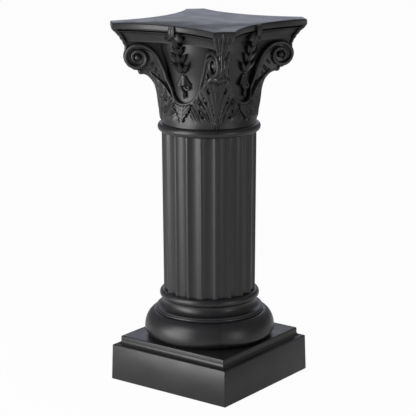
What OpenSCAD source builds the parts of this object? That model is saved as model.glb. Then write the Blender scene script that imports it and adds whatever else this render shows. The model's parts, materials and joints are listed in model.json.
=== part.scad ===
// Moulded column pedestal: a square plinth, an attic base, a fluted shaft between two beads, and a
// leafy capital with corner volutes under a hollow-sided abacus. It is one hollow moulding, drawn
// solid. Millimetres, +Z up, origin at the middle of the underside. Each face of the plinth looks
// along X or Y, and each corner, volute and big leaf lies on a diagonal.

/* [Plinth] */
// Width of the plinth at the floor
plinth_w = 318; // [280:1:382]
// How far each face of the plinth leans in, from the floor to its top
plinth_draft = 2; // [0:0.5:4]
// Height of the upright face
fascia_h = 81; // [50:1:120]
// Width of the narrow flat ledge above the upright face
ledge = 5; // [2:0.5:8]
// Radius of the hollow between the ledge and the top step
cove_r = 9; // [5:0.5:12]
// Height of the straight edge above the hollow
step_edge_h = 10; // [6:0.5:16]

/* [Base mouldings] */
// Radius of the big round at its widest
torus_r = 146.4; // [135:0.1:153]
// How far the big round bulges past its own core
torus_bulge = 30; // [22:0.5:36]
// Height of the big round from the plinth to its widest line
torus_low_h = 17.3; // [12:0.1:24]
// Height of the big round from its widest line to its top
torus_high_h = 41; // [30:0.5:52]
// Height of each of the two thin fillets
fillet_h = 4.5; // [2:0.5:6]
// Step outwards from one thin fillet to the next
fillet_step = 2.5; // [1:0.5:4]
// Radius of the hollow above the fillets
scotia_r = 16; // [10:0.5:20]
// Height of the plain neck between that hollow and the lower bead
hollow_gap = 3; // [1:0.5:8]
// Radius of the round section of both beads
bead_r = 10; // [7:0.5:12]

/* [Shaft] */
// Radius of the shaft over its arrises at the foot
shaft_foot_r = 103.2; // [90:0.1:115]
// Radius of the shaft over its arrises at the head
shaft_head_r = 105.5; // [90:0.1:115]
// Length of shaft that shows between the two beads
shaft_len = 360; // [250:1:500]
// Number of flutes
flutes = 20; // [12:4:28]
// Width of the narrow arris between two flutes
arris_w = 3.5; // [2:0.5:8]
// Depth of a flute
flute_depth = 5; // [2:0.5:8]

/* [Capital] */
// Height of the leafy part, from the upper bead to the abacus
leaf_part_h = 181.7; // [150:0.1:220]
// Height of the bottom of each hanging panel above the bead
panel_foot_h = 55; // [40:1:75]
// Half width of the round foot of each hanging panel
panel_foot_r = 38; // [26:1:44]
// Lean of the corner leaf from foot to head
leaf_lean = 14; // [6:1:20]
// Flare of the corner leaf just below its tip
leaf_flare = 15; // [6:1:22]
// Height at which the corner leaf turns over, above the bead
leaf_turn_h = 110; // [90:1:118]
// Depth of the grooves in the leaves
leaf_groove = 3.5; // [1:0.5:4.5]
// Radius of the bell behind the panels at its foot
bell_foot_r = 80; // [70:1:90]
// Radius of the bell behind the panels under the abacus
bell_head_r = 105; // [95:1:115]

/* [Volutes] */
// Distance of the eye of a volute from the axis, along the diagonal
volute_out = 158; // [150:1:165]
// Radius of a volute
volute_r = 28.5; // [22:0.5:31]
// Distance of the face of a volute from the diagonal, at its eye
volute_face_out = 13; // [9:0.5:18]
// Angle at which the two volutes of a corner close towards each other
volute_splay = 16.5; // [8:0.5:20]
// Height of the spiral ridge over the face of a volute
ridge_h = 4; // [1:0.5:5]
// Width of the spiral ridge
ridge_w = 6; // [3:0.5:7]
// Number of turns of the spiral ridge
ridge_turns = 1.75; // [1:0.25:2.25]
// What the spiral keeps of its distance from the eye at each turn
spiral_keep = 0.5; // [0.4:0.01:0.7]
// Thickness of the web that ties each pair of volutes to the bell
web_w = 18; // [10:1:24]

/* [Abacus] */
// Distance of the cut corner from the axis, along the diagonal
corner_out = 213; // [205:1:225]
// Width of the cut corner
corner_w = 44.6; // [30:1:60]
// Distance from the axis to the middle of a hollow side
side_mid = 130.5; // [124:0.5:145]
// Height of the abacus
abacus_h = 41; // [30:0.5:50]
// Height of the upright face of the abacus
abacus_face_h = 13; // [8:0.5:18]
// How far the groove and fillet under the face are set in
abacus_set_in = 9; // [5:0.5:12]
// How far the underside of the abacus is set in
abacus_cove_in = 24; // [18:0.5:28]

/* [Garlands] */
// Half width of the hanging garland
garland_half_w = 15; // [8:0.5:18]
// How far the garland stands off the bell
garland_h = 6; // [3:0.5:9]
// Number of leaves down each side of the garland
garland_leaves = 4; // [3:1:6]
// Half width of the flower in the middle of an abacus side
flower_half_w = 9; // [6:0.5:12]
// How far that flower stands off the abacus
flower_h = 5; // [3:0.5:7]

/* [Hidden] */
$fn = 96;
plastic = "#2b2b2d";
sink = 6;                    // how far a shape reaches past the face that trims or carries it
plinth_h = fascia_h + 1 + cove_r + step_edge_h;
torus_z = plinth_h + torus_low_h;
torus_core_r = torus_r - torus_bulge;
torus_top_z = torus_z + torus_high_h;
scotia_foot_z = torus_top_z + 2 * fillet_h;
scotia_neck_r = shaft_foot_r - 0.5;
low_bead_z = scotia_foot_z + scotia_r + hollow_gap + bead_r;
shaft_foot_z = low_bead_z + bead_r;
shaft_head_z = shaft_foot_z + shaft_len;
high_bead_z = shaft_head_z + bead_r;
neck_z = high_bead_z + bead_r;
neck_r = shaft_head_r - 1;
abacus_z = neck_z + leaf_part_h;
height = abacus_z + abacus_h;
panel_z = neck_z + panel_foot_h;
leaf_turn_z = neck_z + leaf_turn_h;
volute_z = abacus_z - volute_r - 2.5;
corner_half = (corner_out + corner_w / 2) / sqrt(2);
corner_short = (corner_out - corner_w / 2) / sqrt(2);
hollow_sag = corner_half - side_mid;
hollow_r = (corner_short * corner_short + hollow_sag * hollow_sag) / (2 * hollow_sag);

// Shared rules ------------------------------------------------------------------------------

// Share of the way from a to b, kept between 0 and 1
function share(x, a, b) = min(1, max(0, (x - a) / (b - a)));
// The same, easing in and out
function ease(x, a, b) = let (t = share(x, a, b)) t * t * (3 - 2 * t);
// Points on an ellipse arc
function arc(cx, cy, rx, ry, from, to, steps) =
    [for (i = [0:steps]) let (a = from + (to - from) * i / steps) [cx + rx * cos(a), cy + ry * sin(a)]];
// A place from its angle round the axis, its distance from the axis and its height
function turned(angle, r, z) = [r * cos(angle), r * sin(angle), z];

// A closed solid from a grid of points seen from outside, drawn to one point behind them
module patch(grid, behind) {
    rows = len(grid);
    cols = len(grid[0]);
    apex = rows * cols;
    cells = [for (i = [0:rows - 2], j = [0:cols - 2])
        let (a = i * cols + j) each [[a, a + cols, a + 1], [a + 1, a + cols, a + cols + 1]]];
    edge = concat([for (j = [0:cols - 1]) j],
                  [for (i = [1:rows - 1]) i * cols + cols - 1],
                  [for (j = [cols - 2:-1:0]) (rows - 1) * cols + j],
                  [for (i = [rows - 2:-1:1]) i * cols]);
    skirt = [for (k = [0:len(edge) - 1]) [edge[k], edge[(k + 1) % len(edge)], apex]];
    polyhedron(points = concat([for (row = grid) each row], [behind]), faces = concat(cells, skirt));
}

// Four copies, one on each corner or one on each side
module four() {
    for (quarter = [0:3]) rotate(90 * quarter) children();
}

// Plinth ------------------------------------------------------------------------------------

// Outline of the plinth across its middle
function plinth_outline() = let (
    w = plinth_w / 2 - plinth_draft,
    right = concat([[plinth_w / 2, 0], [w, fascia_h], [w - ledge, fascia_h + 1]],
                   arc(w - ledge, fascia_h + 1 + cove_r, cove_r, cove_r, 270, 180, 6),
                   [[w - ledge - cove_r, plinth_h - 2], [w - ledge - cove_r - 2, plinth_h]])
) concat(right, [for (i = [len(right) - 1:-1:0]) [-right[i][0], right[i][1]]]);

module plinth_run() {
    rotate([90, 0, 0]) linear_extrude(plinth_w + 2, center = true) polygon(plinth_outline());
}

module plinth() {
    intersection() {
        plinth_run();
        rotate(90) plinth_run();
    }
}

// Turned parts: base mouldings, beads and the core of the shaft and capital -------------------

module base_mouldings() {
    core = torus_core_r;
    step_r = core + 2 * fillet_step;
    rotate_extrude() polygon(concat(
        [[0, plinth_h - 1], [core + torus_bulge * cos(60), plinth_h - 1]],
        arc(core, torus_z, torus_bulge, torus_low_h + 1.2, -69, 0, 6),
        arc(core, torus_z, torus_bulge, torus_high_h + 1, 6, 78, 10),
        [[step_r - 1, torus_top_z], [step_r, torus_top_z + 0.5], [step_r, torus_top_z + fillet_h],
         [step_r - fillet_step, torus_top_z + fillet_h], [step_r - fillet_step, scotia_foot_z]],
        arc(scotia_neck_r + scotia_r, scotia_foot_z + scotia_r, scotia_r, scotia_r, 262, 180, 8),
        [[scotia_neck_r, low_bead_z], [0, low_bead_z]]));
}

module bead(r, z) {
    rotate_extrude() translate([r - bead_r, z]) circle(r = bead_r);
}

module shaft() {
    lean = atan((shaft_head_r - shaft_foot_r) / shaft_len);
    pitch = 360 / flutes;
    mid_r = (shaft_foot_r + shaft_head_r) / 2;
    half_chord = mid_r * sin(pitch / 2) - arris_w / 2;
    chord_depth = flute_depth - (mid_r - sqrt(mid_r * mid_r - half_chord * half_chord));
    flute_r = (half_chord * half_chord + chord_depth * chord_depth) / (2 * chord_depth);
    difference() {
        translate([0, 0, low_bead_z]) cylinder(r1 = shaft_foot_r, r2 = shaft_head_r,
                                                h = high_bead_z - low_bead_z);
        for (i = [0:flutes - 1]) rotate(45 + pitch * (i + 0.5))
            translate([shaft_foot_r - flute_depth + flute_r, 0, shaft_foot_z - 2])
                rotate([0, lean, 0]) cylinder(r = flute_r, h = shaft_len + 4);
    }
}

module bell() {
    rotate_extrude() polygon(concat(
        [[0, high_bead_z], [neck_r - 1, high_bead_z], [neck_r - 1, neck_z + 4], [bell_foot_r, panel_z - 10]],
        [for (i = [0:8]) let (t = i / 8)
            [bell_foot_r + (bell_head_r - bell_foot_r) * (0.55 * t + 0.45 * pow(t, 3)),
             panel_z + (abacus_z + 1 - panel_z) * t]],
        [[0, abacus_z + 1]]));
}

// Leaves --------------------------------------------------------------------------------------

// Radius of the leaves on a diagonal at a height
function leaf_r(z) = let (t = share(z, neck_z, leaf_turn_z))
    neck_r + leaf_lean * t + leaf_flare * pow(t, 6);
// Radius of the rim of a panel at a height
function rim_r(z) = neck_r - 7.5 * sin(90 * share(z, neck_z, panel_z + 34))
    + 0.010 * pow(max(0, z - panel_z - 34), 2);
// Height of the rim of a panel, from the angle off the middle of a side
function rim_z(off) = let (s = rim_r(panel_z) * sin(min(off, 60)), r = panel_foot_r)
    min(leaf_turn_z, s < 0.92 * r
        ? panel_z + r - sqrt(r * r - s * s)
        : panel_z + r * (1 - sqrt(1 - 0.8464)) + (s - 0.92 * r) * 1.9);
// Grooves that fan out from the middle rib of a corner leaf
function leaf_cut(off, z) = let (
    side = 45 - off,
    t = share(z, neck_z, leaf_turn_z),
    rib = side < 3 ? 1 : 0,
    fan = 0.5 + 0.5 * cos(360 * (4.5 * t - side / 15))
) leaf_groove * ease(z, neck_z + 4, neck_z + 25) * (rib - (1 - rib) * fan * ease(side, 2, 12));

// Angles off the middle of a side at which the leaf ring has a column of points
half_offs = [0, 5, 10, 14, 18, 20.5, 22.5, 24.5, 26.5, 28.5, 31, 34, 37, 39.5, 42, 43.5, 45];
ring_rows = 12;

function ring_angles() = let (n = len(half_offs) - 1) [for (side = [0:3])
    each concat([for (i = [0:n - 1]) [90 * side + half_offs[i], half_offs[i]]],
                [for (i = [n:-1:1]) [90 * side + 90 - half_offs[i], half_offs[i]]])];

// The leaves that clothe the neck and climb each corner, with the rims of the four panels on top
module leaf_ring() {
    angles = ring_angles();
    n = len(angles);
    in_r = bell_foot_r - 12;
    foot_z = high_bead_z + 2;
    outer = [for (row = [0:ring_rows], c = angles) let (
        off = c[1],
        top = rim_z(off),
        z = foot_z + (top - foot_z) * row / ring_rows,
        edge = share(off, 0, 45),
        round = 0.5 - 0.5 * cos(180 * edge),
        r = rim_r(z) + (leaf_r(z) - rim_r(z)) * round
    ) turned(c[0], r + (row == ring_rows ? 0 : leaf_cut(off, z)), z)];
    top_in = [for (c = angles) turned(c[0], in_r, rim_z(c[1]) - 8)];
    foot_in = [for (c = angles) turned(c[0], in_r, foot_z)];
    points = concat(outer, top_in, foot_in);
    rings = ring_rows + 3;
    faces = [for (row = [0:rings - 1], j = [0:n - 1]) let (
        a = row * n + j, b = row * n + (j + 1) % n,
        c = ((row + 1) % rings) * n + j, d = ((row + 1) % rings) * n + (j + 1) % n
    ) each [[a, c, b], [b, c, d]]];
    polyhedron(points = points, faces = faces);
}

// The curled tip of a corner leaf
module leaf_tip() {
    long = (volute_out + 2 - leaf_r(leaf_turn_z)) / 2 + 5;
    at = [volute_out + 2 - long, 0, leaf_turn_z + 6];
    rows = 8;
    cols = 12;
    points = concat([at - [0, 0, 8]],
        [for (i = [1:rows - 1], j = [0:cols - 1]) let (a = 180 * i / rows - 90, b = 360 * j / cols)
            at + [long * cos(a) * cos(b), 14 * cos(a) * sin(b), 8 * sin(a)]],
        [at + [0, 0, 8]]);
    last = (rows - 1) * cols + 1;
    faces = concat(
        [for (j = [0:cols - 1]) [0, 1 + j, 1 + (j + 1) % cols]],
        [for (i = [0:rows - 3], j = [0:cols - 1]) let (
            a = 1 + i * cols + j, b = 1 + i * cols + (j + 1) % cols
        ) each [[a, a + cols, b], [b, a + cols, b + cols]]],
        [for (j = [0:cols - 1]) [last, last - cols + (j + 1) % cols, last - cols + j]]);
    rotate(45) polyhedron(points = points, faces = faces);
}

// Volutes -------------------------------------------------------------------------------------

// Distance from the eye to the outline of the bracket at an angle: a volute that opens into a stem
function bracket_r(angle) = angle > 120
    ? volute_r + 52 * pow((angle - 120) / 100, 2.6)
    : volute_r - 3 * share(-angle, -90, 100);

function bracket_outline() = concat(
    [for (a = [216:-8:-100]) let (r = bracket_r(a)) [volute_out + r * cos(a), volute_z + r * sin(a)]],
    [[leaf_r(leaf_turn_z) - 4, leaf_turn_z - 3], [rim_r(leaf_turn_z) - 4, leaf_turn_z - 12]]);

function ridge_outline() = let (steps = round(24 * ridge_turns)) concat(
    [for (i = [0:steps]) let (a = 90 - 15 * i, r = volute_r * pow(spiral_keep, i / 24))
        [volute_out + r * cos(a), volute_z + r * sin(a)]],
    [for (i = [steps:-1:0]) let (a = 90 - 15 * i,
                                 r = volute_r * pow(spiral_keep, i / 24) - ridge_w * (1 - 0.4 * i / steps))
        [volute_out + r * cos(a), volute_z + r * sin(a)]]);

// The raised band that climbs the stem and runs into the spiral
function band_outline() = concat(
    [for (a = [216:-8:88]) let (r = bracket_r(a)) [volute_out + r * cos(a), volute_z + r * sin(a)]],
    [for (a = [88:8:216]) let (r = bracket_r(a) - ridge_w) [volute_out + r * cos(a), volute_z + r * sin(a)]]);

// A flat shape standing on a diagonal, between two distances to the side of it
module on_corner(from, to) {
    rotate([90, 0, 45]) translate([0, 0, from]) linear_extrude(to - from) children();
}

// A flat shape on the face of one volute of a corner, from one height over that face to another
module on_volute(side, from, to) {
    rotate(45) mirror([0, side, 0]) translate([volute_out, -volute_face_out, 0]) rotate(volute_splay)
        rotate([90, 0, 0]) translate([-volute_out, 0, from]) linear_extrude(to - from) children();
}

module volute_pair() {
    wide = 4 * volute_r;
    intersection_for (side = [0, 1]) on_volute(side, -wide, 0) polygon(bracket_outline());
    on_corner(-web_w / 2, web_w / 2) polygon([
        [bell_foot_r - sink, panel_z], [leaf_r(panel_z) - sink, panel_z],
        [leaf_r(leaf_turn_z) - sink, leaf_turn_z], [volute_out - sink, volute_z - volute_r / 2],
        [volute_out - sink, abacus_z + 1], [bell_foot_r - sink, abacus_z + 1]]);
    on_corner(-web_w / 6, web_w / 6) translate([volute_out - 10, volute_z])
        square([10 + volute_r - 1, abacus_z + 1 - volute_z]);
    for (side = [0, 1]) on_volute(side, -1, ridge_h) {
        polygon(ridge_outline());
        polygon(band_outline());
        translate([volute_out, volute_z]) circle(r = ridge_w - 0.5, $fn = 24);
    }
}

// Abacus --------------------------------------------------------------------------------------

// How far each height of the abacus edge is set in: upright face, groove, fillet and hollow
function abacus_insets() = let (
    z1 = height - abacus_face_h, h = z1 - 6 - abacus_z
) concat([[1.5, height + 0.01], [0, height - 1.5], [0, z1], [abacus_set_in - 2, z1 - 2],
          [abacus_set_in - 2, z1 - 4], [abacus_set_in, z1 - 4], [abacus_set_in, z1 - 6]],
         [for (i = [1:5]) let (t = i / 5)
             [abacus_set_in + (abacus_cove_in - abacus_set_in) * t * (1.25 - 0.25 * t), z1 - 6 - h * t]],
         [[abacus_cove_in, abacus_z - 1]]);

module side_cutter() {
    insets = abacus_insets();
    translate([0, -side_mid - hollow_r, 0]) rotate_extrude($fn = 128) polygon(concat(
        [[hollow_r / 2, abacus_z - 1], [hollow_r / 2, height + 1]],
        [[hollow_r + insets[0][0], height + 1]],
        [for (p = insets) [hollow_r + p[0], p[1]]]));
}

module corner_cutter() {
    insets = abacus_insets();
    rotate([90, 0, 45]) linear_extrude(4 * corner_w, center = true) polygon(concat(
        [[corner_out + 60, abacus_z - 1], [corner_out + 60, height + 1]],
        [[corner_out - insets[0][0], height + 1]],
        [for (p = insets) [corner_out - p[0], p[1]]]));
}

module abacus() {
    block = 2 * (corner_half + sink);
    difference() {
        translate([-block / 2, -block / 2, abacus_z]) cube([block, block, abacus_h]);
        four() side_cutter();
        four() corner_cutter();
    }
}

// Garlands --------------------------------------------------------------------------------------

// Half width of the garland at a height: pairs of leaves, then a flower that opens downwards and a drop
function garland_w(z, leaves_end, head) = let (
    flower_end = leaves_end - 24,
    leaf = (head - z) / (head - leaves_end) * garland_leaves
) z >= leaves_end ? garland_half_w * (0.5 + 0.5 * (leaf - floor(leaf)))
    : z >= flower_end ? garland_half_w * (0.35 + 0.65 * share(z, leaves_end, flower_end))
    : garland_half_w * 0.3;

// A string of leaves, a flower and a drop down the bell, on the side that faces -Y
module garland() {
    head = abacus_z + 4;
    leaves_end = panel_z + 58;
    foot = panel_z + 8;
    rows = 3 * garland_leaves;
    heights = concat([for (i = [0:rows - 1]) head - (head - leaves_end) * (i + 0.2) / rows],
                     [for (h = [0, 8, 16, 23.9, 24.5, 36]) leaves_end - h], [foot]);
    half_cols = 3;
    patch([for (z = heights) let (
            w = garland_w(z, leaves_end, head),
            r = bell_foot_r + (bell_head_r - bell_foot_r) * share(z, panel_z, abacus_z)
        ) [for (j = [-half_cols:half_cols]) let (u = j / half_cols)
            [w * u, -(r - 2 + (abs(j) == half_cols ? -sink / 2 : garland_h * (1 - 0.4 * abs(u)))), z]]],
        [0, -bell_foot_r + 4 * sink, (foot + head) / 2]);
}

// The flower that breaks the abacus in the middle of each side
module flower() {
    z1 = height - 3;
    z2 = abacus_z - 2;
    rows = 6;
    half_cols = 3;
    patch([for (i = [0:rows]) let (
            t = i / rows, z = z1 + (z2 - z1) * t,
            w = flower_half_w * (0.7 + 0.3 * abs(sin(360 * t))),
            out = side_mid + flower_h - (abacus_cove_in - 6) * ease(t, 0.15, 1)
        ) [for (j = [-half_cols:half_cols]) let (u = j / half_cols)
            [w * u, -(out - flower_h * u * u - (abs(j) == half_cols || i == 0 || i == rows ? sink : 0)), z]]],
        [0, -side_mid + 7 * sink, (z1 + z2) / 2]);
}

module column() {
    color(plastic) union() {
        plinth();
        base_mouldings();
        bead(shaft_foot_r + bead_r - 1.2, low_bead_z);
        shaft();
        bead(shaft_head_r + bead_r - 1.7, high_bead_z);
        bell();
        leaf_ring();
        four() leaf_tip();
        four() volute_pair();
        abacus();
        four() garland();
        four() flower();
    }
}

column();
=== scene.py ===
"""Moulded column pedestal: the visual model of a black column with a leafy capital.

Lengths are written in millimetres and turned to metres when a mesh is finished. The column stands on
its plinth, its faces look along X and Y, and its volutes and big leaves lie on the diagonals.
"""

import json
import logging
import math
from dataclasses import dataclass, field
from enum import Enum
from typing import Callable, Sequence

import bmesh
import bpy
from mathutils import Matrix, Vector

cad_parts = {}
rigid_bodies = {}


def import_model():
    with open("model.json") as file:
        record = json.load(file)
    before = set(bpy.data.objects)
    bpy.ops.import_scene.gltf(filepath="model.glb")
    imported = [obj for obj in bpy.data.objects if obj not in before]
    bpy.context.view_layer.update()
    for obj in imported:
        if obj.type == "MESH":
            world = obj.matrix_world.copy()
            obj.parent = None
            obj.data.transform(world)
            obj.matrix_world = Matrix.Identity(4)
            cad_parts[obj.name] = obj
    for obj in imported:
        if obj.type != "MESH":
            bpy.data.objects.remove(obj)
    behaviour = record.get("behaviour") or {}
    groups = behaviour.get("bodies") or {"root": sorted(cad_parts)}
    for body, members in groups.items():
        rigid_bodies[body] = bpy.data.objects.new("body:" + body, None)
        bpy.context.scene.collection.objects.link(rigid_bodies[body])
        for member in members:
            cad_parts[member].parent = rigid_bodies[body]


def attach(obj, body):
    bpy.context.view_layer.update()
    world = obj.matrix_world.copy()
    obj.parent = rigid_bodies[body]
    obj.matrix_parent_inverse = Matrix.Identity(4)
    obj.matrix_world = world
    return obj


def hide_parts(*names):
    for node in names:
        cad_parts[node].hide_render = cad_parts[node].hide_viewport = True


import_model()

log = logging.getLogger("column")

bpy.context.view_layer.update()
METRES = 0.001
Outline = Sequence[tuple[float, float]]


# Shared rules ---------------------------------------------------------------------------------


def share(x: float, low: float, high: float) -> float:
    """Share of the way from low to high, kept between 0 and 1."""
    return min(1.0, max(0.0, (x - low) / (high - low)))


def ease(x: float, low: float, high: float) -> float:
    """Share of the way from low to high, easing in and out."""
    t = share(x, low, high)
    return t * t * (3 - 2 * t)


def bump(x: float, width: float) -> float:
    """A smooth bump of height 1 round zero."""
    return math.exp(-((x / width) ** 2))


def between(x: float, stops: Outline) -> float:
    """Reads a value off straight lines between stops.

    Args:
        x: Where to read.
        stops: Stops as (x, value), in rising order.

    Returns:
        The value at x, held level past the last stop.
    """
    for (x0, y0), (x1, y1) in zip(stops, stops[1:]):
        if x <= x1:
            return y0 + (y1 - y0) * share(x, x0, x1)
    return stops[-1][1]


def arc(centre: tuple[float, float], radii: tuple[float, float], start: float, end: float,
        steps: int) -> list[tuple[float, float]]:
    """Points on part of an ellipse, angles in degrees."""
    angles = [math.radians(start + (end - start) * i / steps) for i in range(steps + 1)]
    return [(centre[0] + radii[0] * math.cos(a), centre[1] + radii[1] * math.sin(a)) for a in angles]


def turned(angle: float, radius: float, height: float) -> Vector:
    """A place from its angle round the axis in degrees, its radius and its height."""
    a = math.radians(angle)
    return Vector((radius * math.cos(a), radius * math.sin(a), height))


def flowing(points: Sequence[Vector], steps: int) -> list[Vector]:
    """A smooth line through points.

    Args:
        points: The points that the line runs through.
        steps: Number of places from each point to the next.

    Returns:
        The places along the line, both ends included.
    """
    ends = [points[0] * 2 - points[1], *points, points[-1] * 2 - points[-2]]
    line = []
    for a, b, c, d in zip(ends, ends[1:], ends[2:], ends[3:]):
        for i in range(steps):
            t = i / steps
            line.append(0.5 * (2 * b + (c - a) * t + (2 * a - 5 * b + 4 * c - d) * t ** 2
                               + (3 * b - a - 3 * c + d) * t ** 3))
    return line + [points[-1].copy()]


# Closed shells ----------------------------------------------------------------------------------


def verts_in(result: dict) -> list[bmesh.types.BMVert]:
    """The vertices an operator returned."""
    return [g for g in result.get("geom", result.get("verts", [])) if isinstance(g, bmesh.types.BMVert)]


def face_outwards(bm: bmesh.types.BMesh) -> bmesh.types.BMesh:
    """Merges doubles and turns every face of a closed shell outwards."""
    bmesh.ops.remove_doubles(bm, verts=bm.verts, dist=1e-4)
    bmesh.ops.recalc_face_normals(bm, faces=bm.faces)
    return bm


def spun(profile: Outline, steps: int, ring: bool = False) -> bmesh.types.BMesh:
    """Spins a profile of (radius, height) once round the axis.

    Args:
        profile: Points from the bottom up; the first and last lie on the axis unless ring is set.
        steps: Number of sides.
        ring: Joins the profile's last point to its first, which gives a ring.

    Returns:
        The closed shell.
    """
    bm = bmesh.new()
    verts = [bm.verts.new((r, 0, z)) for r, z in profile]
    pairs = list(zip(verts, verts[1:])) + ([(verts[-1], verts[0])] if ring else [])
    edges = [bm.edges.new(pair) for pair in pairs]
    bmesh.ops.spin(bm, geom=verts + edges, cent=(0, 0, 0), axis=(0, 0, 1), angle=math.tau,
                   steps=steps, use_merge=True)
    return face_outwards(bm)


def plate(outline: Outline, half: Callable[[float, float], float]) -> bmesh.types.BMesh:
    """A flat shape standing on a diagonal.

    Args:
        outline: Points as (distance from the axis, height).
        half: Half thickness at a distance and height.

    Returns:
        The closed shell, along +X, before it is turned to a corner.
    """
    bm = bmesh.new()
    face = bm.faces.new([bm.verts.new((d, -half(d, z), z)) for d, z in outline])
    new = verts_in(bmesh.ops.extrude_face_region(bm, geom=[face]))
    for v in new:
        v.co.y = half(v.co.x, v.co.z)
    bmesh.ops.triangulate(bm, faces=[f for f in bm.faces if len(f.verts) > 4])
    return face_outwards(bm)


def lofted(rings: Sequence[Sequence[Vector]]) -> bmesh.types.BMesh:
    """A closed shell through rings of places, capped at both ends.

    Args:
        rings: Rings with as many places each, in order from one end to the other.

    Returns:
        The closed shell.
    """
    bm = bmesh.new()
    circle = bmesh.ops.create_circle(bm, cap_ends=True, segments=len(rings[0]), radius=1.0)
    layer = circle["verts"]
    for v, place in zip(layer, rings[0]):
        v.co = place
    for ring in rings[1:]:
        loop = [e for e in {e for v in layer for e in v.link_edges}
                if e.verts[0] in layer and e.verts[1] in layer]
        order = {tuple(v.co): i for i, v in enumerate(layer)}
        new = verts_in(bmesh.ops.extrude_edge_only(bm, edges=loop))
        new.sort(key=lambda v: order[tuple(v.co)])
        for v, place in zip(new, ring):
            v.co = place
        layer = new
    bmesh.ops.contextual_create(bm, geom=[e for e in bm.edges if e.is_boundary])
    return face_outwards(bm)


def swept(path: Sequence[Vector], sizes: Sequence[tuple[float, float]], sides: int,
          across: Vector | None = None) -> bmesh.types.BMesh:
    """A closed tube along a path.

    Args:
        path: The middle of the tube.
        sizes: Half width and half thickness of the tube at each place of the path.
        sides: Number of sides.
        across: Direction of the width, where the tube isn't round.

    Returns:
        The closed shell.
    """
    rings = []
    side = across or Vector((0.31, 0.83, 0.46))
    for i, (place, (wide, thick)) in enumerate(zip(path, sizes)):
        along = (path[min(i + 1, len(path) - 1)] - path[max(i - 1, 0)]).normalized()
        side = (side - along * side.dot(along)).normalized()
        up = along.cross(side)
        turn = [math.tau * k / sides for k in range(sides)]
        rings.append([place + side * wide * math.cos(a) + up * thick * math.sin(a) for a in turn])
        side = across or side
    return lofted(rings)


def husk(length: float, width: float, thick: float, point: float = 1.0,
         sides: int = 12) -> bmesh.types.BMesh:
    """A plump pointed leaf along -Z with its root at the origin and its face to -Y.

    Args:
        length: Length from root to tip.
        width: Width at its widest.
        thick: Thickness at its thickest.
        point: How sharply it narrows to its tip.
        sides: Number of sides.

    Returns:
        The closed shell.
    """
    bm = bmesh.new()
    bmesh.ops.create_uvsphere(bm, u_segments=sides, v_segments=8, radius=1.0)
    for v in bm.verts:
        t = (1 - v.co.z) / 2
        taper = 1 - point * max(0.0, t - 0.35) ** 1.3
        v.co = Vector((v.co.x * width / 2 * taper, v.co.y * thick / 2, -t * length))
        v.co.y -= 0.12 * length * t * t - thick * 0.25 * bump(v.co.x, width * 0.07)
    return face_outwards(bm)


def moved(bm: bmesh.types.BMesh, matrix: Matrix) -> bmesh.types.BMesh:
    """Moves a shell, and keeps its faces outwards where it is mirrored.

    Args:
        bm: The shell.
        matrix: The move.

    Returns:
        The same shell.
    """
    bmesh.ops.transform(bm, matrix=matrix, verts=bm.verts)
    if matrix.determinant() < 0:
        bmesh.ops.reverse_faces(bm, faces=bm.faces)
    return bm


def copies(bm: bmesh.types.BMesh, turns: Sequence[float], mirror: bool = False) -> list[bmesh.types.BMesh]:
    """Copies of a shell turned round the axis.

    Args:
        bm: The shell, which is used up.
        turns: Angles in degrees.
        mirror: Adds a copy mirrored in Y to each.

    Returns:
        The copies.
    """
    flips = [Matrix.Identity(4)] + ([Matrix.Scale(-1, 4, (0, 1, 0))] if mirror else [])
    made = [moved(bm.copy(), Matrix.Rotation(math.radians(turn), 4, "Z") @ flip)
            for turn in turns for flip in flips]
    bm.free()
    return made


def shell_object(bm: bmesh.types.BMesh, name: str, home: bpy.types.Collection) -> bpy.types.Object:
    """Makes an object of a shell and frees the shell.

    Args:
        bm: The shell, which is used up.
        name: The name of the object and its mesh.
        home: The collection that takes it.

    Returns:
        The object.
    """
    mesh = bpy.data.meshes.new(name)
    bm.to_mesh(mesh)
    bm.free()
    made = bpy.data.objects.new(name, mesh)
    home.objects.link(made)
    return made


def drop_pockets(bm: bmesh.types.BMesh) -> int:
    """Fills the small pockets that the shells close in between them, leaving the outer skin alone.

    Args:
        bm: The united moulding.

    Returns:
        The number of pockets filled.
    """
    left = set(bm.verts)
    skins = []
    while left:
        skin = {left.pop()}
        border = list(skin)
        while border:
            here = border.pop()
            near = {e.other_vert(here) for e in here.link_edges} & left
            left -= near
            skin |= near
            border += near
        skins.append(skin)
    skins.sort(key=len)
    inner = [v for skin in skins[:-1] for v in skin]
    bmesh.ops.delete(bm, geom=inner, context="VERTS")
    return len(skins) - 1


def moulded(core: bmesh.types.BMesh, others: Sequence[bmesh.types.BMesh], name: str) -> bpy.types.Object:
    """Unites closed shells into one skin, in metres.

    Args:
        core: The shell that the others join.
        others: The other shells, each closed.
        name: The name of the piece.

    Returns:
        The finished object, at the origin.
    """
    scene = bpy.context.scene
    home = bpy.data.collections.new("shells")
    scene.collection.children.link(home)
    for i, bm in enumerate(others):
        shell_object(bm, f"shell_{i}", home)
    piece = shell_object(core, name, scene.collection)
    unite = piece.modifiers.new("unite", "BOOLEAN")
    unite.operation, unite.solver = "UNION", "MANIFOLD"
    unite.operand_type, unite.collection = "COLLECTION", home
    mesh = bpy.data.meshes.new_from_object(piece.evaluated_get(bpy.context.evaluated_depsgraph_get()))
    piece.modifiers.clear()
    skin = bmesh.new()
    skin.from_mesh(mesh)
    log.info("%s: %d closed-in pockets filled", name, drop_pockets(skin))
    skin.to_mesh(mesh)
    skin.free()
    piece.data = mesh
    for made in list(home.objects):
        bpy.data.objects.remove(made)
    bpy.data.collections.remove(home)
    mesh.name = name
    mesh.transform(Matrix.Scale(METRES, 4))
    mesh.shade_smooth()
    return piece


SIDES = (0.0, 90.0, 180.0, 270.0)
CORNERS = (45.0, 135.0, 225.0, 315.0)


# Plinth and base --------------------------------------------------------------------------------


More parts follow.
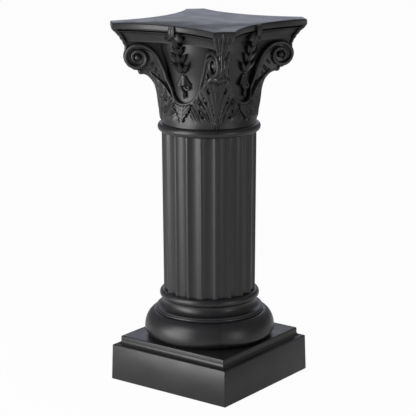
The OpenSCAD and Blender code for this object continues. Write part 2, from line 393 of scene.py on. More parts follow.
@dataclass(frozen=True)
class Plinth:
    """The square plinth with its hollow step."""

    foot: float = 318.0
    width: float = 314.0
    fascia: float = 81.0
    ledge: float = 5.0
    cove: float = 9.0
    edge: float = 10.0
    corner: float = 1.8

    @property
    def top(self) -> float:
        """Height of the plinth."""
        return self.fascia + 1 + self.cove + self.edge

    def stations(self) -> list[tuple[float, float]]:
        """Half width at each height, from the floor up."""
        w, z = self.width / 2, self.fascia
        step = w - self.ledge - self.cove
        return [(self.foot / 2 - 1.5, 0), (self.foot / 2 - 0.3, 0.6), (self.foot / 2, 2), (w, z - 1.6),
                (w - 0.5, z - 0.4), (w - 1.6, z + 0.3), (w - self.ledge, z + 0.8),
                *arc((w - self.ledge, z + 1 + self.cove), (self.cove, self.cove), 264, 180, 7),
                (step, self.top - 2.4), (step - 0.4, self.top - 1.2), (step - 1.3, self.top - 0.3),
                (step - 2.6, self.top)]

    def ring(self, half: float, height: float) -> list[Vector]:
        """The square outline with rounded corners at one height.

        Args:
            half: Half width.
            height: Height.

        Returns:
            The places in order round the axis.
        """
        places = []
        for turn in CORNERS:
            for bend in (-45, -15, 15, 45):
                a = math.radians(turn + bend)
                mid = turned(turn, (half - self.corner) * math.sqrt(2), height)
                places.append(mid + Vector((math.cos(a), math.sin(a), 0)) * self.corner)
        return places

    def shell(self) -> bmesh.types.BMesh:
        """The plinth as one closed shell."""
        return lofted([self.ring(half, z) for half, z in self.stations()])


@dataclass(frozen=True)
class Base:
    """The turned mouldings between the plinth and the shaft, and the beads."""

    foot: float = 101.0
    core: float = 116.4
    bulge: float = 30.0
    widest: float = 118.3
    low: float = 18.5
    high: float = 42.0
    rise: float = 41.0
    fillet: float = 4.5
    step: float = 2.5
    scotia: float = 16.0
    neck: float = 102.7
    bead: float = 10.0
    bead_z: float = 197.3
    upper_bead_z: float = 577.3
    upper_bead_r: float = 103.8
    sides: int = 180

    @property
    def torus_top(self) -> float:
        """Height at which the big round meets the fillets."""
        return self.widest + self.rise

    def profile(self) -> list[tuple[float, float]]:
        """The outline from the plinth to the middle of the lower bead."""
        top, r = self.torus_top, self.core + 2 * self.step
        fillet_top, scotia_z = top + self.fillet, top + 2 * self.fillet
        middle = (self.neck + self.scotia, scotia_z + self.scotia)
        return [(0, self.foot - 1), (self.core + 14, self.foot - 1),
                *arc((self.core, self.widest), (self.bulge, self.low), -68, 0, 10),
                *arc((self.core, self.widest), (self.bulge, self.high), 5, 76, 16),
                (r - 1.6, top - 0.9), (r - 0.9, top - 0.2), (r - 0.2, top + 0.5), (r, top + 1.3),
                (r, fillet_top - 0.7), (r - 0.6, fillet_top), (r - self.step, fillet_top + 0.2),
                (r - self.step, scotia_z - 0.8), (r - self.step - 0.7, scotia_z - 0.1),
                *arc(middle, (self.scotia, self.scotia), 261, 180, 14),
                (self.neck, self.bead_z), (0, self.bead_z)]

    def bead_ring(self, radius: float, height: float) -> bmesh.types.BMesh:
        """One round bead."""
        return spun(arc((radius, height), (self.bead, self.bead), 0, 345, 23), self.sides, ring=True)

    def shells(self) -> list[bmesh.types.BMesh]:
        """The mouldings and both beads."""
        return [spun(self.profile(), self.sides),
                self.bead_ring(self.neck - 0.7, self.bead_z),
                self.bead_ring(self.upper_bead_r, self.upper_bead_z)]


@dataclass(frozen=True)
class Shaft:
    """The fluted shaft."""

    foot_r: float = 103.2
    head_r: float = 105.5
    foot_z: float = 196.0
    head_z: float = 583.0
    flutes: int = 20
    arris: float = 3.5
    depth: float = 5.0
    points: int = 16

    def ring(self, radius: float, height: float) -> list[Vector]:
        """The fluted outline at one height.

        Args:
            radius: Radius over the arrises.
            height: Height.

        Returns:
            The places in order round the axis.
        """
        pitch = 360 / self.flutes
        flat = math.degrees(self.arris / radius)
        places = []
        for flute in range(self.flutes):
            start = 45 + pitch * flute
            for i in range(self.points):
                t = i / self.points
                x = share(t * pitch, flat / 2, pitch - flat / 2) * 2 - 1
                dip = self.depth * max(0.0, 1 - abs(x) ** 2.2)
                places.append(turned(start + t * pitch, radius - dip, height))
        return places

    def shell(self) -> bmesh.types.BMesh:
        """The shaft as one closed shell."""
        stops = [0, 0.25, 0.5, 0.75, 1]
        return lofted([self.ring(self.foot_r + (self.head_r - self.foot_r) * t,
                                 self.foot_z + (self.head_z - self.foot_z) * t) for t in stops])


# Capital ----------------------------------------------------------------------------------------


@dataclass(frozen=True)
class Capital:
    """Sizes that the bell, leaves, volutes and garlands of the capital share."""

    neck_z: float = 587.3
    neck_r: float = 104.5
    abacus_z: float = 769.0
    panel_h: float = 49.5
    rim_in: float = 12.0
    panel_r: float = 38.0
    lean: float = 14.0
    flare: float = 15.0
    turn_h: float = 110.0
    bell: tuple[tuple[float, float], ...] = (
        (0, 98), (30, 92), (46, 89), (60, 88), (77, 88.2), (95, 89.6), (111, 91.6), (135, 97.4), (155, 104),
        (168, 106), (183, 107))

    @property
    def panel_z(self) -> float:
        """Height of the foot of each hanging panel."""
        return self.neck_z + self.panel_h

    @property
    def turn_z(self) -> float:
        """Height at which the corner leaves turn over."""
        return self.neck_z + self.turn_h

    def leaf_r(self, z: float) -> float:
        """Radius of the leaves on a diagonal."""
        t = share(z, self.neck_z, self.turn_z)
        return self.neck_r + self.lean * t + self.flare * t ** 6

    def rim_r(self, z: float) -> float:
        """Radius of the rim of a panel."""
        top = self.panel_z + 34
        return (self.neck_r - self.rim_in * math.sin(math.pi / 2 * share(z, self.neck_z, top))
                + 0.012 * max(0.0, z - top) ** 2)

    def rim_z(self, off: float) -> float:
        """Height of the rim of a panel.

        Args:
            off: Angle off the middle of a side, in degrees.

        Returns:
            The height, up a round foot and then up a straight slope.
        """
        s = self.rim_r(self.panel_z) * math.sin(math.radians(min(off, 60)))
        r, end = self.panel_r, 0.92
        if s < end * r:
            return self.panel_z + r - math.sqrt(r * r - s * s)
        return min(self.turn_z + 12, self.panel_z + r * (1 - math.sqrt(1 - end ** 2)) + (s - end * r) * 1.9)

    def bell_r(self, z: float) -> float:
        """Radius of the bell behind the panels."""
        return between(z - self.neck_z, self.bell)

    def bell_shell(self) -> bmesh.types.BMesh:
        """The bell that carries the abacus."""
        places = [Vector((r, 0, self.neck_z + h)) for h, r in self.bell]
        line = [(p.x, p.z) for p in flowing(places, 4)]
        return spun([(0, self.neck_z - 8), (100, self.neck_z - 8), *line[1:], (0, line[-1][1])], 144)


@dataclass(frozen=True)
class LeafRing:
    """The carved leaves that clothe the neck and climb each corner."""

    form: Capital = field(default_factory=Capital)
    columns: int = 432
    rows: int = 74
    inner_r: float = 66.0
    girth_r: float = 108.0
    rib: float = 3.0
    leaflet: float = 3.2
    eye: float = 5.0
    slash_pitch: float = 10.5
    lobe_pitch: float = 31.0
    strands: float = 3.0
    eyes: tuple[tuple[float, float, float, float, float], ...] = (
        (37, 40, 29, 25, 2.5), (27, 68, 22, 58, 2.1), (17, 90, 15, 80, 1.8), (40, 62, 35, 55, 1.7))

    def blade(self, v: float) -> float:
        """Half width of the leaf's middle blade at a height above the bead."""
        return 10.5 + 0.12 * v + 0.0042 * v * v

    def eye_depth(self, u: float, v: float) -> float:
        """Depth of the drilled eyes between the lobes.

        Args:
            u: Distance round the leaf from its middle rib.
            v: Height above the bead.

        Returns:
            The depth, next to nothing away from the eyes.
        """
        deepest = 0.0
        for u0, v0, u1, v1, wide in self.eyes:
            t = share((u - u0) * (u1 - u0) + (v - v0) * (v1 - v0), 0, (u1 - u0) ** 2 + (v1 - v0) ** 2)
            bow = 3.0 * math.sin(math.pi * t)
            away = math.hypot(u - u0 - (u1 - u0) * t - bow, v - v0 - (v1 - v0) * t)
            deepest = max(deepest, self.eye * bump(away, wide * (0.5 + 0.5 * t)))
        return deepest

    def carving(self, off: float, z: float) -> float:
        """How far the carving stands off the plain leaf.

        Args:
            off: Angle off the middle of a side, in degrees.
            z: Height.

        Returns:
            The stand-off, negative in a groove.
        """
        u = math.radians(45 - off) * self.girth_r
        v = z - self.form.neck_z
        s = u / self.blade(v)
        rib = self.rib * bump(u, 4.2) - 1.8 * bump(u, 1.1) * ease(v, 55, 75)
        fade = (1 - 0.35 * s) * ease(s, 0.1, 0.3)
        strand = (2.6 + 1.8 * ease(v, 15, 50)) * fade * abs(math.sin(math.pi * self.strands * s)) ** 0.75
        beyond = ease(s, 0.94, 1.12)
        across = v - 1.35 * u + 4.5 * math.sin((u - 12) / 9)
        leaflet = self.leaflet * abs(math.sin(math.pi * across / self.slash_pitch)) ** 0.7
        lobe = (0.5 + 0.5 * math.cos(math.tau * (across - 6) / self.lobe_pitch)) ** 7
        carved = rib + (1 - beyond) * strand + beyond * (leaflet - 3.6 * lobe) * ease(v, 10, 30)
        edge = -2.6 * bump(s - 1.03, 0.045) * ease(v, 0, 20)
        near_rim = ease(self.form.rim_z(off) - z, 0.5, 6)
        keep = near_rim * ease(off, 7, 15)
        return (ease(v, 1, 12) * keep * (carved + edge) - self.eye_depth(u, v) * near_rim
                + self.palmette(off, v) * near_rim)

    def palmette(self, off: float, v: float) -> float:
        """Stand-off of the small leaf below a panel, with its jagged margin.

        Args:
            off: Angle off the middle of a side, in degrees.
            v: Height above the bead.

        Returns:
            The stand-off, negative in the groove round the leaf.
        """
        saw = abs(((v - 17) / 8.5) % 1 - 0.5) * 3.4
        margin = between(v, ((0, 2), (19, 2), (40, 11), (55, 13))) + saw
        shown = ease(v, 10, 17) * (1 - ease(v, 47, 55))
        vein = 1.1 * abs(math.sin(math.pi * (v - 1.9 * off) / 9)) * ease(off, 1, 3)
        inside = ease(margin - off, -0.3, 0.7)
        return shown * (inside * (1.2 + vein) - 4.2 * bump((off - margin - 0.7) * 1.8, 1.5))

    def shell(self) -> bmesh.types.BMesh:
        """The leaves as one closed ring."""
        outer, inner = 2.0, 1.0
        rows = [(outer, i / self.rows) for i in range(self.rows + 1)]
        bm = spun([*rows, (inner, 1.0), (inner, 0.0)], self.columns, ring=True)
        form, foot = self.form, self.form.neck_z - 8
        for v in bm.verts:
            angle = math.degrees(math.atan2(v.co.y, v.co.x))
            off = abs((angle + 45) % 90 - 45)
            top, t = form.rim_z(off), v.co.z
            if math.hypot(v.co.x, v.co.y) < (outer + inner) / 2:
                v.co = turned(angle, self.inner_r, top - 9 if t > 0.5 else foot)
                continue
            z = foot + (top - foot) * t
            swell = 0.5 - 0.5 * math.cos(math.pi * off / 45)
            r = form.rim_r(z) + (form.leaf_r(z) - form.rim_r(z)) * swell
            v.co = turned(angle, r + self.carving(off, z), z)
        return face_outwards(bm)


@dataclass(frozen=True)
class Volutes:
    """The corner brackets with their splayed spiral volutes, rims and curled leaf tips."""

    form: Capital = field(default_factory=Capital)
    eye: tuple[float, float] = (157.0, 732.8)
    radius: float = 24.4
    turns: float = 1.4
    roll: float = 4.9
    stem_roll: float = 4.6
    eye_r: float = 7.6
    recess: float = 7.0
    ridge: float = 2.5
    web_half: float = 7.0
    wind: tuple[tuple[float, float], ...] = (
        (0, 1.08), (0.25, 1.05), (0.5, 0.85), (0.75, 0.7), (1, 0.57), (1.25, 0.47), (1.4, 0.42))
    spread: tuple[tuple[float, float], ...] = (
        (90, 31), (97, 29.5), (102, 26.5), (111, 24), (118, 22.8), (131, 22), (158, 15), (188, 6.2))
    spine: tuple[tuple[float, float, float], ...] = (
        (208.4, 18, 806), (208, 17.5, 797), (198.5, 15, 787), (192, 12, 777), (187, 9.5, 768),
        (182.5, 7.5, 757), (182.5, 6.5, 746), (184.5, 6, 735), (182, 6, 722), (174, 6.5, 713),
        (163, 8, 707.5), (152, 9, 706))
    inside: tuple[tuple[float, float], ...] = (
        (100, 707), (105, 719), (115, 731.5), (127, 742), (138, 747.8), (150, 749.6), (163, 746),
        (172, 738))
    stem: tuple[tuple[float, float], ...] = (
        (97, 689), (101, 703), (106, 714), (111, 726), (117.5, 738), (124, 745.5), (131, 751.5),
        (139, 756.2), (148, 758.9))
    husks: tuple[tuple[float, float, float, float], ...] = (
        (110, 700, -30, 12), (117, 712, -34, 12), (124, 724, -40, 11), (131, 733, -48, 10))

    def lateral(self, d: float) -> float:
        """Distance of a volute's face from the diagonal, at a distance from the axis."""
        return between(d, self.spread)

    def sunk(self, d: float) -> float:
        """How far a volute's face lies behind its rim, at a distance from the axis."""
        return self.recess * ease(d, 116, 140)

    def spiral(self) -> list[tuple[float, float, float]]:
        """Distance, height and share of the way in, along the spiral from its top to the eye."""
        count = 64
        line = []
        for i in range(count + 1):
            t = i / count
            a = math.radians(90 - 360 * self.turns * t)
            r = self.radius * between(self.turns * t, self.wind)
            line.append((self.eye[0] + r * math.cos(a), self.eye[1] + r * math.sin(a), t))
        return line

    def rim(self) -> bmesh.types.BMesh:
        """The raised rim of one panel, from one volute's eye down round the panel and up to the next.

        Returns:
            The closed tube, on the side that faces +X.
        """
        form = self.form
        corner = Matrix.Rotation(math.radians(45), 4, "Z")
        half = []
        for off in (0, 4, 8, 12, 16, 20, 23.5):
            z = form.rim_z(off)
            half.append((turned(off, form.rim_r(z) + 0.4, z), 3.6 + 0.9 * share(off, 0, 23.5)))
        for d, z in self.stem:
            half.append((corner @ Vector((d, -self.lateral(d), z)), self.stem_roll))
        for d, z, t in self.spiral()[1:]:
            half.append((corner @ Vector((d, -self.lateral(d) + 1.8 * t, z)), self.roll * (1 - 0.3 * t)))
        path = flowing([p for p, _ in half], 2)
        sizes = [half[min(i // 2, len(half) - 1)][1] for i in range(len(path))]
        mirrored = [Vector((p.x, -p.y, p.z)) for p in path[:0:-1]]
        sizes = sizes[:0:-1] + sizes
        return swept(mirrored + path, [(s, s) for s in sizes], 10)

    def fillet(self) -> bmesh.types.BMesh:
        """The thin ridge on a bracket's face that runs inside the rim, into the spiral."""
        path = flowing([Vector((d, self.lateral(d) - 0.8 * self.sunk(d), z)) for d, z in self.inside], 3)
        return swept(path, [(self.ridge, self.ridge)] * len(path), 8)

    def bracket(self) -> bmesh.types.BMesh:
        """The solid stem and discs of one corner."""
        cx, cz = self.eye
        disc = arc((cx, cz), (self.radius + 0.6, self.radius + 0.2), 84, -100, 28)
        outline = [*self.stem, *disc, (140, 700), (126, 690), (98, 680)]
        return plate(outline, lambda d, z: self.lateral(d) - self.sunk(d))

    def eyes(self) -> bmesh.types.BMesh:
        """The round eye in the middle of a volute."""
        bm = bmesh.new()
        bmesh.ops.create_uvsphere(bm, u_segments=24, v_segments=14, radius=self.eye_r)
        return moved(bm, Matrix.Translation((self.eye[0], self.lateral(self.eye[0]) - 4.5, self.eye[1])))

    def tip(self) -> bmesh.types.BMesh:
        """The curled tip of a corner leaf."""
        places = [Vector((d, 0, z)) for d, z in
                  ((108, 668), (118, 685), (129, 697), (140, 702.5), (149, 703), (156, 700.5))]
        path = flowing(places, 6)
        sizes = []
        for i in range(len(path)):
            t = i / (len(path) - 1)
            lobes = 1 + 0.1 * math.cos(4 * math.pi * t)
            wide = (15 - 3.5 * t) * lobes * (1 - 0.4 * ease(t, 0.9, 1))
            thick = 9.4 - 1.2 * t - 2.8 * ease(t, 0.92, 1)
            sizes.append((wide, thick))
        return swept(path, sizes, 20, across=Vector((0, 1, 0)))

    def strands(self) -> list[bmesh.types.BMesh]:
        """The leafy strands down the cut corner of the abacus and between the two volutes."""
        spine = flowing([Vector((d, half, z)) for d, half, z in self.spine], 3)
        made = []
        for side in (-2, -1, 0, 1, 2):
            length = len(spine) if abs(side) < 2 else len(spine) // 2
            path = [Vector((p.x - 0.9 * abs(side), p.y * side / 2, p.z)) for p in spine[:length]]
            thick = [(0.25 * p.y + 1.0) * (1 + 0.22 * ease(i, 3, 10) * math.cos(1.9 * i + side))
                     for i, p in enumerate(spine[:length])]
            thick[-1] *= 0.4
            made.append(swept(path, [(w, w) for w in thick], 8))
        return made

    def stem_husks(self) -> list[bmesh.types.BMesh]:
        """The small leaves on the side of a stem, below its rim."""
        made = []
        for d, z, lean, size in self.husks:
            leaf = husk(size * 1.3, size * 0.62, 5.0, 1.1, sides=10)
            place = Matrix.Translation((d, -self.lateral(d) + 1.6 + 0.8 * self.sunk(d), z))
            made.append(moved(leaf, place @ Matrix.Rotation(math.radians(lean), 4, "Y")))
        return made

    def web(self) -> bmesh.types.BMesh:
        """The web that ties a pair of volutes to the bell."""
        top = self.form.abacus_z + 3
        outline = [(70, 650), (112, 690), (150, 712), (176, 722), (183, 735), (183, 748), (180, 756),
                   (184, 766), (186, top), (70, top)]
        return plate(outline, lambda d, z: self.web_half)

    def shells(self) -> list[bmesh.types.BMesh]:
        """Every shell of the four corners."""
        made = copies(self.rim(), SIDES)
        for one in (self.bracket(), self.tip(), self.web(), *self.strands()):
            made += copies(one, CORNERS)
        for one in (self.eyes(), self.fillet(), *self.stem_husks()):
            made += copies(one, CORNERS, mirror=True)
        return made


@dataclass(frozen=True)
class Abacus:
    """The hollow-sided slab on top, with its cut corners."""

    foot: float = 769.0
    top: float = 810.0
    corner_out: float = 213.0
    corner_w: float = 44.6
    side_mid: float = 130.5
    face: float = 13.0
    set_in: float = 9.0
    cove_in: float = 24.0
    steps: int = 22
    petals: tuple[tuple[float, float, float, float, float], ...] = (
        (-52, 3, 793, 126, 25), (52, -3, 793, 126, 25), (0, 0, 789, 124, 30))
    petal_tilt: float = 24.0

    def insets(self) -> list[tuple[float, float]]:
        """How far each height of the edge is set in, from the underside up."""
        z, out, deep = self.top - self.face, self.set_in, self.set_in + 4
        hollow = [(out + (self.cove_in - out) * t * (1.3 - 0.3 * t), z - 7 - (z - 7 - self.foot) * t)
                  for t in (1, 0.8, 0.6, 0.4, 0.2, 0)]
        return [(self.cove_in + 8, self.foot - 0.5), (self.cove_in, self.foot - 0.5), *hollow,
                (out - 1.6, z - 6.6), (out - 2.6, z - 5.8), (out - 2.8, z - 5), (out - 2.2, z - 4.3),
                (out - 0.6, z - 3.6), (deep, z - 3.2), (deep + 1, z - 2.4), (deep + 1, z - 1.4),
                (deep, z - 0.6), (2.4, z - 0.3), (1, z + 0.1), (0.3, z + 1.2), (0, z + 3), (0, z + 8.5),
                (0.3, self.top - 1.8), (0.9, self.top - 0.6), (2.2, self.top)]

    def ring(self, inset: float, height: float) -> list[Vector]:
        """The outline of the slab at one height.

        Args:
            inset: How far the outline is set in.
            height: Height.

        Returns:
            The places in order round the axis.
        """
        diagonal = math.sqrt(2)
        half = (self.corner_out + self.corner_w / 2) / diagonal
        short = (self.corner_out - self.corner_w / 2) / diagonal
        sag = half - self.side_mid
        r = (short * short + sag * sag) / (2 * sag)
        centre = self.side_mid + r
        r += inset
        across = (diagonal * (self.corner_out - inset) - centre) / (diagonal * r)
        reach = 45 + math.degrees(math.asin(across))
        places = []
        for turn in SIDES:
            for i in range(self.steps + 1):
                a = math.radians(reach * (1 - 2 * i / self.steps))
                side = Vector((centre - r * math.cos(a), -r * math.sin(a), height))
                places.append(Matrix.Rotation(math.radians(turn), 4, "Z") @ side)
        return places

    def shell(self) -> bmesh.types.BMesh:
        """The slab as one closed shell."""
        return lofted([self.ring(inset, z) for inset, z in self.insets()])

    def bud(self) -> bmesh.types.BMesh:
        """The upright bud that breaks the edge in the middle of a side."""
        bm = bmesh.new()
        bmesh.ops.create_cube(bm, size=1.0)
        bmesh.ops.subdivide_edges(bm, edges=bm.edges, cuts=5, use_grid_fill=True)
        for v in bm.verts:
            x, y, z = v.co * 2
            puff = math.sqrt(max(0.0, 1 - 0.30 * (y * y + z * z)))
            across = 8.2 * y * (1 - 0.14 * z * z)
            v.co = Vector((self.side_mid - 5 + 11.5 * x * puff, across, self.top - 12 + 10.8 * z))
            v.co.x -= 1.6 * bump(v.co.y, 1.5) * ease(x, 0, 1)
        return face_outwards(bm)

    def flower(self) -> list[bmesh.types.BMesh]:
        """The bud and the petals below it, on the side that faces +X."""
        made = [self.bud()]
        turn = Matrix.Rotation(math.pi / 2, 4, "Z") @ Matrix.Rotation(math.radians(self.petal_tilt), 4, "X")
        for lean, y, z, r, length in self.petals:
            leaf = moved(husk(length, 19, 18, 0.1), Matrix.Rotation(math.radians(lean), 4, "Y"))
            made.append(moved(leaf, Matrix.Translation((r, y, z)) @ turn))
        return made

    def flowers(self) -> list[bmesh.types.BMesh]:
        """The flower on each of the four sides."""
        return [copy for one in self.flower() for copy in copies(one, SIDES)]


@dataclass(frozen=True)
class Garlands:
    """The string of leaves, bell flower and curls that hangs in each panel."""

    form: Capital = field(default_factory=Capital)
    pairs: tuple[tuple[float, float, float], ...] = ((746, 25, 34), (727, 32, 40), (704, 37, 42))
    proud: float = 2.0

    def out(self, z: float) -> float:
        """Distance of the garland's back from the axis."""
        return self.form.bell_r(z) + self.proud

    def leaves(self) -> list[bmesh.types.BMesh]:
        """The pairs of pointed leaves that open upwards, with one leaf up the middle of each."""
        made = []
        for z, length, spread in self.pairs:
            for lean in (180 - spread, 180 + spread, 180):
                leaf = husk(length if lean != 180 else length * 0.8, 13.5, 11.0, 1.15)
                leaf = moved(leaf, Matrix.Rotation(math.radians(lean), 4, "Y"))
                place = Matrix.Translation((0, -self.out(z) - (0 if lean != 180 else 2.0), z))
                made.append(moved(leaf, place @ Matrix.Rotation(math.radians(16), 4, "X")))
        return made

    def bell_flower(self) -> bmesh.types.BMesh:
        """The flower that opens downwards at the end of the leaves."""
        bm = bmesh.new()
        top, drop = 700, 22
        bmesh.ops.create_cone(bm, cap_ends=True, segments=24, radius1=1.0, radius2=0.3, depth=1.0)
        upright = [e for e in bm.edges if abs(e.verts[0].co.z - e.verts[1].co.z) > 0.5]
        bmesh.ops.subdivide_edges(bm, edges=upright, cuts=4)
        for v in bm.verts:
            t = 0.5 - v.co.z
            a = math.atan2(v.co.y, v.co.x)
            wide = (7.5 + 11 * t ** 1.1) / math.hypot(v.co.x, v.co.y)
            petal = 1 + 0.10 * t * math.cos(5 * a)
            v.co = Vector((v.co.x * wide * petal, v.co.y * wide * 0.55 * petal,
                           top - drop * (t + 0.10 * t * math.cos(5 * a + math.pi))))
            v.co.y -= self.out(v.co.z) - 1
        return face_outwards(bm)

    def curl(self) -> bmesh.types.BMesh:
        """The one curl beside the last leaf."""
        places = [Vector((x, -self.out(z) - 2.5, z)) for x, z in
                  ((1, 681), (5, 673.5), (10.5, 669.5), (15.5, 672), (14, 676.5), (10.5, 675.5))]
        path = flowing(places, 3)
        return swept(path, [(3.4 - 1.2 * i / len(path),) * 2 for i in range(len(path))], 10)

    def last_leaves(self) -> list[bmesh.types.BMesh]:
        """The pointed leaf that leans across and the drop at the very end."""
        leaning = moved(husk(27, 9, 9, 1.1), Matrix.Rotation(math.radians(-30), 4, "Y"))
        drop = husk(20, 8.5, 8, 0.5)
        return [moved(leaning, Matrix.Translation((-9, -self.out(680) - 1, 685))),
                moved(drop, Matrix.Translation((3, -self.out(668) - 1, 669)))]

    def shells(self) -> list[bmesh.types.BMesh]:
        """Every shell of the four garlands."""
        made = [*self.leaves(), self.bell_flower(), self.curl(), *self.last_leaves()]
        return [copy for one in made for copy in copies(one, SIDES)]


# Finish -----------------------------------------------------------------------------------------


def linear(hex_colour: str) -> tuple[float, float, float, float]:
    """Turns an sRGB hex colour to linear."""
    parts = [int(hex_colour.lstrip("#")[i:i + 2], 16) / 255 for i in (0, 2, 4)]
    return (*[c / 12.92 if c <= 0.04045 else ((c + 0.055) / 1.055) ** 2.4 for c in parts], 1.0)


def node(tree: bpy.types.NodeTree, kind: str, links: dict | None = None,
         **settings: object) -> bpy.types.Node:
    """Adds a node.

    Args:
        tree: The node tree.
        kind: Blender's name for the node.
        links: Input name or number to a value or an output socket.
        settings: The node's own properties.

    Returns:
        The node.
    """
    made = tree.nodes.new(kind)
    for name, value in settings.items():
        setattr(made, name, value)
    for name, value in (links or {}).items():
        if isinstance(value, bpy.types.NodeSocket):
            tree.links.new(value, made.inputs[name])
        else:
            made.inputs[name].default_value = value
    return made


@dataclass(frozen=True)
class MouldedPolyethylene:
    """Satin black polyethylene, blow moulded in a textured steel mould.

    The mould's fine grain and the slow waves of a cooled thin wall spread the highlights softly.
    """

    colour: str = "#19191b"
    worn: str = "#212123"
    roughness: float = 0.37
    grain_mm: float = 1.6
    wave_mm: float = 45.0

    def material(self) -> bpy.types.Material:
        """The material, read from Object coordinates."""
        # Polyethylene blown into a textured steel mould: a satin skin that spreads its highlights
        made = bpy.data.materials.new("moulded_black_polyethylene")
        made.use_nodes = True
        tree = made.node_tree
        tree.nodes.clear()
        place = node(tree, "ShaderNodeTexCoord").outputs["Object"]
        grain = node(tree, "ShaderNodeTexNoise", {"Vector": place, "Scale": 1 / (self.grain_mm * METRES),
                                                  "Detail": 2.0, "Roughness": 0.6})
        wave = node(tree, "ShaderNodeTexNoise", {"Vector": place, "Scale": 1 / (self.wave_mm * METRES),
                                                 "Detail": 2.0, "Roughness": 0.5})
        tint = node(tree, "ShaderNodeMix", {"Factor": wave.outputs["Fac"], 6: linear(self.colour),
                                            7: linear(self.worn)}, data_type="RGBA")
        gloss = node(tree, "ShaderNodeMapRange", {
            "Value": wave.outputs["Fac"], "From Min": 0.3, "From Max": 0.7,
            "To Min": self.roughness - 0.04, "To Max": self.roughness + 0.06})
        swell = node(tree, "ShaderNodeBump", {"Height": wave.outputs["Fac"], "Strength": 0.12,
                                              "Distance": 2.0 * METRES})
        fine = node(tree, "ShaderNodeBump", {"Height": grain.outputs["Fac"], "Strength": 0.25,
                                             "Distance": 0.12 * METRES, "Normal": swell.outputs["Normal"]})
        skin = node(tree, "ShaderNodeBsdfPrincipled", {
            "Base Color": tint.outputs[2], "Roughness": gloss.outputs["Result"], "IOR": 1.51,
            "Normal": fine.outputs["Normal"]})
        node(tree, "ShaderNodeOutputMaterial", {"Surface": skin.outputs["BSDF"]})
        return made


# Studio -----------------------------------------------------------------------------------------


@dataclass(frozen=True)
class Softbox:
    """A soft lamp aimed at the column's axis.

    Its azimuth and rise are angles seen from the axis, azimuth 0 being the side that faces -Y.
    """

    azimuth: float
    rise: float
    away: float
    size: tuple[float, float]
    power: float
    aim: float
    colour: str = "#ffffff"


class Lamp(Enum):
    """The softboxes of the studio."""

    LOW = Softbox(-26, 2, 2.6, (1.9, 1.3), 57, 0.25)
    KEY = Softbox(-20, 30, 3.2, (1.2, 1.2), 36, 0.3)
    RIGHT = Softbox(84, 6, 3.0, (0.7, 1.6), 12, 0.45)
    BACK = Softbox(214, 15, 4.2, (3.4, 1.2), 18, 0.8, "#e4e9ff")


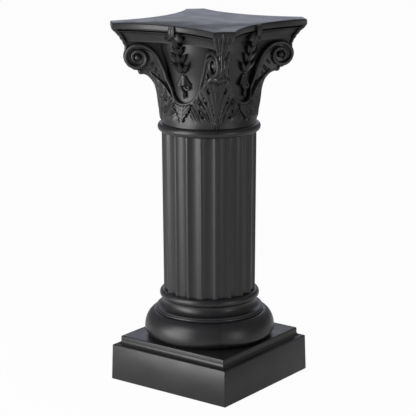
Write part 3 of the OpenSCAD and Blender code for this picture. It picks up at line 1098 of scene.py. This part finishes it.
@dataclass(frozen=True)
class Studio:
    """The pale room, its soft lamps and the camera."""

    azimuth: float = 36.5777
    away: float = 3.47166
    height: float = 1.237437
    pitch: float = 13.7252
    yaw: float = 0.0489
    roll: float = -0.1453
    lens: float = 138.56
    sensor: float = 36.0
    shown: str = "#ffffff"
    walls: str = "#f4f5f8"
    floor_paint: str = "#f2f2f2"
    floor_shown: float = 0.97
    surround: float = 0.2
    mirrored_room: float = 0.04
    mirrored_floor: float = 0.4

    def camera(self) -> None:
        """Adds the camera at the viewing angle."""
        a = math.radians(self.azimuth)
        data = bpy.data.cameras.new("camera")
        data.lens, data.sensor_width = self.lens, self.sensor
        data.clip_start = 0.05
        eye = bpy.data.objects.new("camera", data)
        eye.location = (math.sin(a) * self.away, -math.cos(a) * self.away, self.height)
        turn = Matrix.Rotation(math.radians(self.azimuth + self.yaw), 3, "Z")
        tilt = Matrix.Rotation(math.radians(90 - self.pitch), 3, "X")
        twist = Matrix.Rotation(math.radians(self.roll), 3, "Z")
        eye.rotation_euler = (turn @ tilt @ twist).to_euler()
        bpy.context.scene.collection.objects.link(eye)
        bpy.context.scene.camera = eye

    def lamps(self) -> None:
        """Adds the soft lamps, each aimed at the middle of the column."""
        for lamp in Lamp:
            box = lamp.value
            data = bpy.data.lights.new(lamp.name.lower(), "AREA")
            data.shape, data.energy, data.color = "RECTANGLE", box.power, linear(box.colour)[:3]
            data.size, data.size_y = box.size
            made = bpy.data.objects.new(lamp.name.lower(), data)
            rise = math.radians(box.rise)
            way = turned(box.azimuth - 90, math.cos(rise), math.sin(rise))
            made.location = Vector((0, 0, box.aim)) + way * box.away
            made.rotation_euler = (-way).to_track_quat("-Z", "Y").to_euler()
            bpy.context.scene.collection.objects.link(made)

    def seen_white(self, tree: bpy.types.NodeTree, mirrored: float) -> bpy.types.NodeSocket:
        """One where the camera looks at the surface, straight or through glass.

        Args:
            tree: The surface's material or the world.
            mirrored: What a glossy reflection gets instead of one, so that the satin black stays deep.

        Returns:
            The share of white.
        """
        path = node(tree, "ShaderNodeLightPath").outputs
        straight = node(tree, "ShaderNodeMath", {0: path["Is Camera Ray"], 1: path["Is Transmission Ray"]},
                        operation="MAXIMUM")
        gloss = node(tree, "ShaderNodeMath", {0: path["Is Glossy Ray"], 1: mirrored}, operation="MULTIPLY")
        return node(tree, "ShaderNodeMath", {0: straight.outputs[0], 1: gloss.outputs[0]},
                    operation="MAXIMUM").outputs[0]

    def world(self) -> None:
        """Sets a pale even surround that the camera sees as white."""
        world = bpy.data.worlds.new("room")
        bpy.context.scene.world = world
        world.use_nodes = True
        tree = world.node_tree
        tree.nodes.clear()
        lit = node(tree, "ShaderNodeBackground", {"Color": linear(self.walls), "Strength": self.surround})
        seen = node(tree, "ShaderNodeBackground", {"Color": linear(self.shown), "Strength": 1.0})
        white = self.seen_white(tree, self.mirrored_room)
        both = node(tree, "ShaderNodeMixShader", {0: white, 1: lit.outputs[0], 2: seen.outputs[0]})
        node(tree, "ShaderNodeOutputWorld", {"Surface": both.outputs[0]})

    def floor(self) -> None:
        """Lays the pale floor, which keeps the column's shadow."""
        bm = bmesh.new()
        bmesh.ops.create_grid(bm, x_segments=1, y_segments=1, size=30)
        floor = shell_object(bm, "floor", bpy.context.scene.collection)
        # Matt pale floor paint, rolled on: it scatters light evenly and keeps a faint shadow
        paint = bpy.data.materials.new("pale_floor_paint")
        paint.use_nodes = True
        tree = paint.node_tree
        tree.nodes.clear()
        matt = node(tree, "ShaderNodeBsdfDiffuse", {"Color": linear(self.floor_paint)})
        glow = node(tree, "ShaderNodeEmission", {"Color": linear(self.shown), "Strength": 1.0})
        white = self.seen_white(tree, self.mirrored_floor)
        seen = node(tree, "ShaderNodeMath", {0: white, 1: self.floor_shown}, operation="MULTIPLY")
        both = node(tree, "ShaderNodeMixShader", {0: seen.outputs[0], 1: matt.outputs[0], 2: glow.outputs[0]})
        node(tree, "ShaderNodeOutputMaterial", {"Surface": both.outputs[0]})
        floor.data.materials.append(paint)

    def build(self) -> None:
        """Builds the whole studio."""
        self.camera()
        self.lamps()
        self.world()
        self.floor()
        bpy.context.scene.view_settings.view_transform = "Standard"


# Column -----------------------------------------------------------------------------------------


@dataclass(frozen=True)
class Column:
    """The whole moulding, in one skin."""

    plinth: Plinth = field(default_factory=Plinth)
    base: Base = field(default_factory=Base)
    shaft: Shaft = field(default_factory=Shaft)
    capital: Capital = field(default_factory=Capital)
    finish: MouldedPolyethylene = field(default_factory=MouldedPolyethylene)
    sharp: float = 42.0
    seam_proud: float = 0.9
    seam_half: float = 0.8

    def seam(self) -> list[bmesh.types.BMesh]:
        """The thin fin of the mould's parting line, up one diagonal from the floor to the leaves."""
        plinth, base, form, proud = self.plinth, self.base, self.capital, self.seam_proud
        corner = [((half - plinth.corner) * math.sqrt(2) + plinth.corner + proud, z)
                  for half, z in plinth.stations()]
        foot = [(0, 1), *corner[1:], (0, plinth.top + proud)]
        mouldings = [(r + proud, z) for r, z in base.profile()[1:-1]]
        over = base.bead + proud
        lower = arc((base.neck - 0.7, base.bead_z), (over, over), -100, 100, 18)
        upper = arc((base.upper_bead_r, base.upper_bead_z), (over, over), -100, 100, 18)
        heights = [form.neck_z + form.turn_h * 0.85 * i / 12 for i in range(13)]
        leaf = [(60, heights[0]), *[(form.leaf_r(z) + 3 + proud, z) for z in heights], (60, heights[-1])]
        whole = [foot, [(0, mouldings[0][1]), *mouldings, (0, mouldings[-1][1])], lower, upper, leaf]
        return [plate(outline, lambda d, z: self.seam_half) for outline in whole]

    def piece(self) -> bpy.types.Object:
        """Builds the column's mesh and dresses it."""
        shells = {
            "base": self.base.shells(),
            "shaft": [self.shaft.shell()],
            "bell": [self.capital.bell_shell()],
            "leaves": [LeafRing(self.capital).shell()],
            "volutes": Volutes(self.capital).shells(),
            "abacus": [Abacus().shell(), *Abacus().flowers()],
            "garlands": Garlands(self.capital).shells(),
            "seam": [copy for one in self.seam() for copy in copies(one, (135.0, 315.0))],
        }
        for name, made in shells.items():
            log.info("%s: %d shells, %d faces", name, len(made), sum(len(bm.faces) for bm in made))
        others = [bm for group in shells.values() for bm in group]
        made = moulded(self.plinth.shell(), others, "column_skin")
        made.data.set_sharp_from_angle(angle=math.radians(self.sharp))
        made.data.materials.clear()
        made.data.materials.append(self.finish.material())
        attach(made, "root")
        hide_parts("column")
        return made


def report(piece: bpy.types.Object) -> None:
    """Logs the size and closure of a piece.

    Args:
        piece: The finished piece.
    """
    bm = bmesh.new()
    bm.from_mesh(piece.data)
    triangles = sum(len(f.verts) - 2 for f in bm.faces)
    loose = sum(1 for e in bm.edges if not e.is_manifold)
    log.info("%s: %d triangles, %d open edges, %.4f litres", piece.name, triangles, loose,
             bm.calc_volume() * 1000)
    bm.free()


def main() -> None:
    """Builds the studio and the column."""
    logging.basicConfig(level=logging.INFO, format="%(name)s: %(message)s")
    Studio().build()
    report(Column().piece())


if __name__ == "__main__":
    main()
